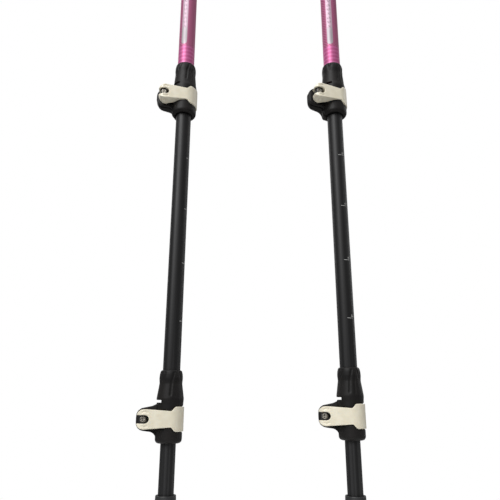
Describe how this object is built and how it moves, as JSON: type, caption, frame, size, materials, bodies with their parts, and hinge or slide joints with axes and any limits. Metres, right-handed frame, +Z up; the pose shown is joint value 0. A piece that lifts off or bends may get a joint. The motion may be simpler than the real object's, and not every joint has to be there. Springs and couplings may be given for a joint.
{
  "type": "pair of trekking poles",
  "caption": "Telescoping trekking poles standing side by side, with lever-operated clamp locks, magenta upper tubes, foam-sleeved grips, wrist straps, baskets and hard tips.",
  "frame": {"origin": "on the ground midway between the two tips", "axes": "+Z up along both poles, +X from the left pole to the right one, -Y towards the viewer and the lock levers"},
  "size_m": [0.2588, 0.054, 0.881],
  "materials": {
    "magenta_tube": "satin metallic magenta anodising with a pale band",
    "black_tube": "satin black anodising with white length marks",
    "black_housing": "fine moulded grain",
    "ivory_lever": "satin moulded ivory",
    "dark_acetal": "satin",
    "bright_steel": "satin",
    "grey_acetal": "satin",
    "grip_rubber": "fine stippled grain",
    "black_foam": "closed-cell foam",
    "black_hard_plastic": "satin",
    "black_webbing": "woven webbing",
    "tip_plastic": "satin",
    "carbide": "ground"
  },
  "bodies": {
    "left_upper_section": {"left_upper_tube": "magenta_tube", "left_upper_housing": "black_housing", "left_upper_barrel": "dark_acetal", "left_upper_nut": "bright_steel", "left_grip_handle": "grip_rubber", "left_grip_cap": "black_hard_plastic", "left_grip_extension": "black_foam", "left_strap_pin": "bright_steel"},
    "left_upper_lever": {"left_upper_lever": "ivory_lever"},
    "left_upper_screw": {"left_upper_screw": "bright_steel"},
    "left_strap": {"left_wrist_strap": "black_webbing", "left_strap_keeper": "black_hard_plastic"},
    "left_middle_section": {"left_middle_tube": "black_tube", "left_middle_bushing": "grey_acetal", "left_lower_housing": "black_housing", "left_lower_barrel": "dark_acetal", "left_lower_nut": "bright_steel"},
    "left_lower_lever": {"left_lower_lever": "ivory_lever"},
    "left_lower_screw": {"left_lower_screw": "bright_steel"},
    "left_lower_section": {"left_lower_tube": "black_tube", "left_lower_bushing": "grey_acetal", "left_flex_tip": "tip_plastic", "left_carbide_tip": "carbide", "left_basket": "tip_plastic"},
    "right_upper_section": {"right_upper_tube": "magenta_tube", "right_upper_housing": "black_housing", "right_upper_barrel": "dark_acetal", "right_upper_nut": "bright_steel", "right_grip_handle": "grip_rubber", "right_grip_cap": "black_hard_plastic", "right_grip_extension": "black_foam", "right_strap_pin": "bright_steel"},
    "right_upper_lever": {"right_upper_lever": "ivory_lever"},
    "right_upper_screw": {"right_upper_screw": "bright_steel"},
    "right_strap": {"right_wrist_strap": "black_webbing", "right_strap_keeper": "black_hard_plastic"},
    "right_middle_section": {"right_middle_tube": "black_tube", "right_middle_bushing": "grey_acetal", "right_lower_housing": "black_housing", "right_lower_barrel": "dark_acetal", "right_lower_nut": "bright_steel"},
    "right_lower_lever": {"right_lower_lever": "ivory_lever"},
    "right_lower_screw": {"right_lower_screw": "bright_steel"},
    "right_lower_section": {"right_lower_tube": "black_tube", "right_lower_bushing": "grey_acetal", "right_flex_tip": "tip_plastic", "right_carbide_tip": "carbide", "right_basket": "tip_plastic"}
  },
  "joints": [
    {"name": "left_middle_slide", "type": "slide", "parent": "left_upper_section", "child": "left_middle_section", "axis": [0, 0, -1], "range_m": [-0.231, 0.0855]},
    {"name": "left_lower_slide", "type": "slide", "parent": "left_middle_section", "child": "left_lower_section", "axis": [0, 0, -1], "range_m": [-0.0322, 0.254]},
    {"name": "left_upper_lever_hinge", "type": "hinge", "parent": "left_upper_section", "child": "left_upper_lever", "pos_m": [-0.08947, -0.01147, 0.4407], "axis": [0, 0, -1], "range_deg": [0, 150]},
    {"name": "left_upper_screw_turn", "type": "hinge", "parent": "left_upper_section", "child": "left_upper_screw", "pos_m": [-0.09033, -0.0016, 0.4407], "axis": [-0.0872, 0.9962, 0], "continuous": true},
    {"name": "left_lower_lever_hinge", "type": "hinge", "parent": "left_middle_section", "child": "left_lower_lever", "pos_m": [-0.0904, -0.0099, 0.1497], "axis": [0, 0, -1], "range_deg": [0, 150]},
    {"name": "left_lower_screw_turn", "type": "hinge", "parent": "left_middle_section", "child": "left_lower_screw", "pos_m": [-0.0904, 0, 0.1497], "axis": [0, 1, 0], "continuous": true},
    {"name": "left_strap_swing", "type": "hinge", "parent": "left_upper_section", "child": "left_strap", "pos_m": [-0.091, 0, 0.872], "axis": [0, 1, 0], "range_deg": [0, 100]},
    {"name": "pair_spacing", "type": "slide", "parent": "left_upper_section", "child": "right_upper_section", "axis": [1, 0, 0], "range_m": [-0.06, 0.15]},
    {"name": "right_middle_slide", "type": "slide", "parent": "right_upper_section", "child": "right_middle_section", "axis": [0, 0, -1], "range_m": [-0.2285, 0.088]},
    {"name": "right_lower_slide", "type": "slide", "parent": "right_middle_section", "child": "right_lower_section", "axis": [0, 0, -1], "range_m": [-0.0347, 0.2515]},
    {"name": "right_upper_lever_hinge", "type": "hinge", "parent": "right_upper_section", "child": "right_upper_lever", "pos_m": [0.05583, -0.01323, 0.4407], "axis": [0, 0, -1], "range_deg": [0, 150]},
    {"name": "right_upper_screw_turn", "type": "hinge", "parent": "right_upper_section", "child": "right_upper_screw", "pos_m": [0.05394, -0.00351, 0.4407], "axis": [-0.1908, 0.9816, 0], "continuous": true},
    {"name": "right_lower_lever_hinge", "type": "hinge", "parent": "right_middle_section", "child": "right_lower_lever", "pos_m": [0.05132, -0.00301, 0.1522], "axis": [0, 0, -1], "range_deg": [0, 150]},
    {"name": "right_lower_screw_turn", "type": "hinge", "parent": "right_middle_section", "child": "right_lower_screw", "pos_m": [0.05471, 0.00629, 0.1522], "axis": [0.342, 0.9397, 0], "continuous": true},
    {"name": "right_strap_swing", "type": "hinge", "parent": "right_upper_section", "child": "right_strap", "pos_m": [0.091, 0, 0.872], "axis": [0, -1, 0], "range_deg": [0, 100]}
  ]
}
